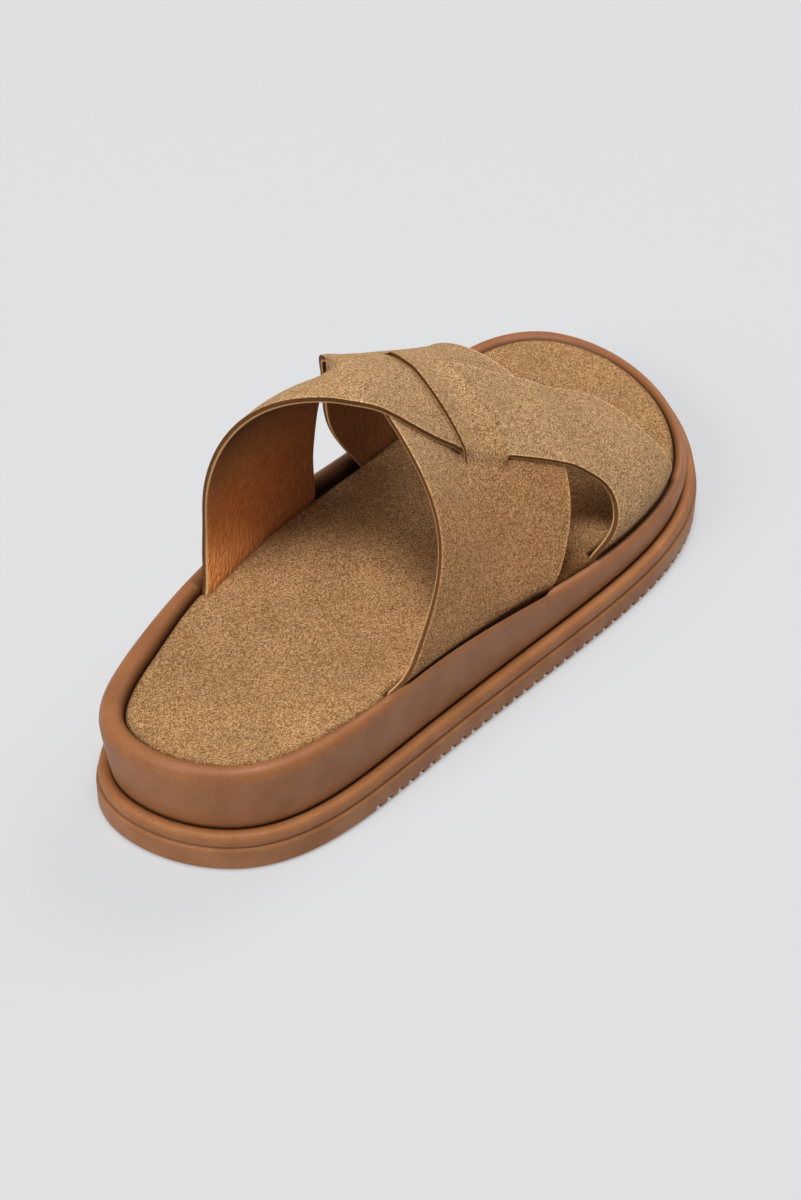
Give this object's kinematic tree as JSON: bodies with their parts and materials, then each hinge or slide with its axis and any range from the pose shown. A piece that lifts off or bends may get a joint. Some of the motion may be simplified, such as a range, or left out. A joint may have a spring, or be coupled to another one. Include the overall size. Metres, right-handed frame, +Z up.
{
  "type": "slide sandal",
  "caption": "Right-foot slide sandal with wide interwoven suede straps over a suede footbed, set in a thick rubber cup sole with a notched lower edge.",
  "frame": {"origin": "middle of the outsole's length and width, on the floor", "axes": "+Y toward the toe, +X toward the outer side of the right foot, +Z up"},
  "size_m": [0.114, 0.2706, 0.1074],
  "materials": {
    "outsole": "satin brown rubber",
    "midsole": "satin brown rubber",
    "insole": "tan suede",
    "upper": "tan suede with a smooth tan lining"
  },
  "bodies": {
    "root": {"outsole": "outsole", "midsole": "midsole", "insole": "insole", "upper": "upper"}
  },
  "joints": []
}
